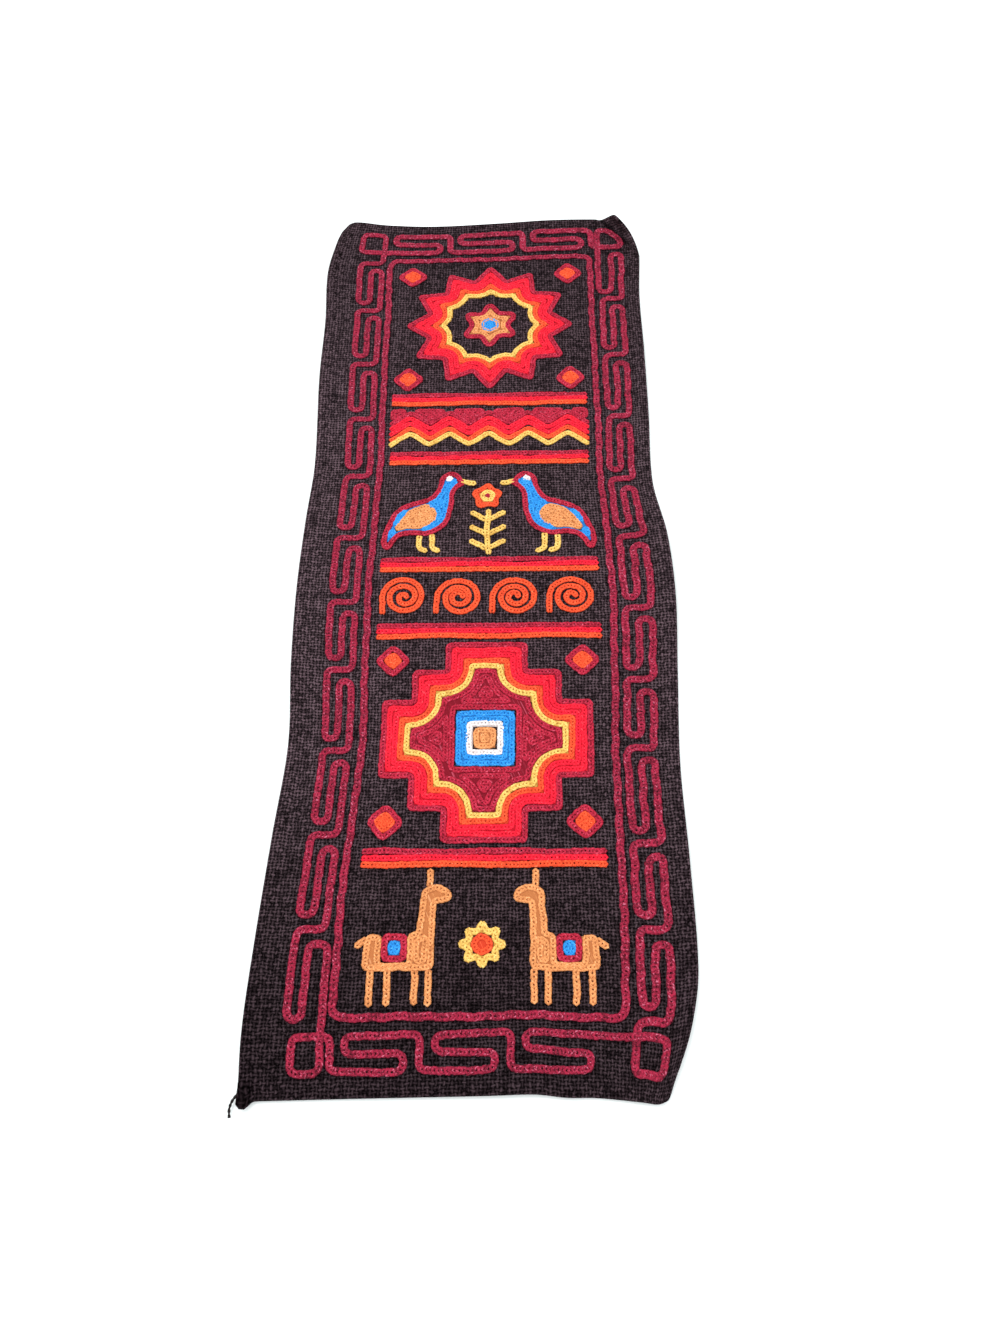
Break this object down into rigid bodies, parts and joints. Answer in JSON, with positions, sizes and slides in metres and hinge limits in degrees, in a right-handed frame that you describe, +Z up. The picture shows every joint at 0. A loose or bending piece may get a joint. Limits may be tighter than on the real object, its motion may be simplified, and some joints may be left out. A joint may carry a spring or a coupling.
{
  "type": "embroidered wall hanging",
  "caption": "Long dark woven cloth panel with a turned hem, a meander border and raised chain-stitch motifs, laid out flat face up.",
  "frame": {"origin": "on the surface that the cloth lies on, under the middle of its outline box", "axes": "+X across the cloth, +Y along its length towards the top edge, +Z up out of its embroidered face"},
  "size_m": [0.3494, 0.9265, 0.029],
  "materials": {
    "ground_cloth": "black and brown flecked plain weave, matt",
    "crimson_yarn": "wool chain stitch, matt",
    "red_yarn": "wool chain stitch, matt",
    "flame_yarn": "wool chain stitch, matt",
    "yellow_yarn": "wool chain stitch, matt",
    "peach_yarn": "wool chain stitch, matt",
    "blue_yarn": "wool chain stitch, matt",
    "white_yarn": "wool chain stitch, matt",
    "hem_thread": "sewing thread, matt"
  },
  "bodies": {
    "root": {"ground_cloth": "ground_cloth", "meander_top": "crimson_yarn", "meander_right": "crimson_yarn", "meander_bottom": "crimson_yarn", "meander_left": "crimson_yarn", "frame_line": "crimson_yarn", "sun": "red_yarn", "sun_rosette": "peach_yarn", "bar_1": "crimson_yarn", "bar_2": "crimson_yarn", "bar_3": "crimson_yarn", "bar_4": "crimson_yarn", "bar_5": "crimson_yarn", "zigzag": "flame_yarn", "bird_left": "blue_yarn", "bird_right": "blue_yarn", "flower_stem": "yellow_yarn", "flower_blossom": "flame_yarn", "scroll_1": "flame_yarn", "scroll_2": "flame_yarn", "scroll_3": "flame_yarn", "scroll_4": "flame_yarn", "cross": "red_yarn", "cross_heart": "blue_yarn", "cross_core": "white_yarn", "diamond_1": "crimson_yarn", "diamond_2": "crimson_yarn", "diamond_3": "crimson_yarn", "diamond_4": "crimson_yarn", "diamond_5": "crimson_yarn", "diamond_6": "crimson_yarn", "diamond_7": "crimson_yarn", "diamond_8": "crimson_yarn", "llama_left": "peach_yarn", "llama_right": "peach_yarn", "small_star": "yellow_yarn", "thread_tail": "hem_thread"}
  },
  "joints": []
}
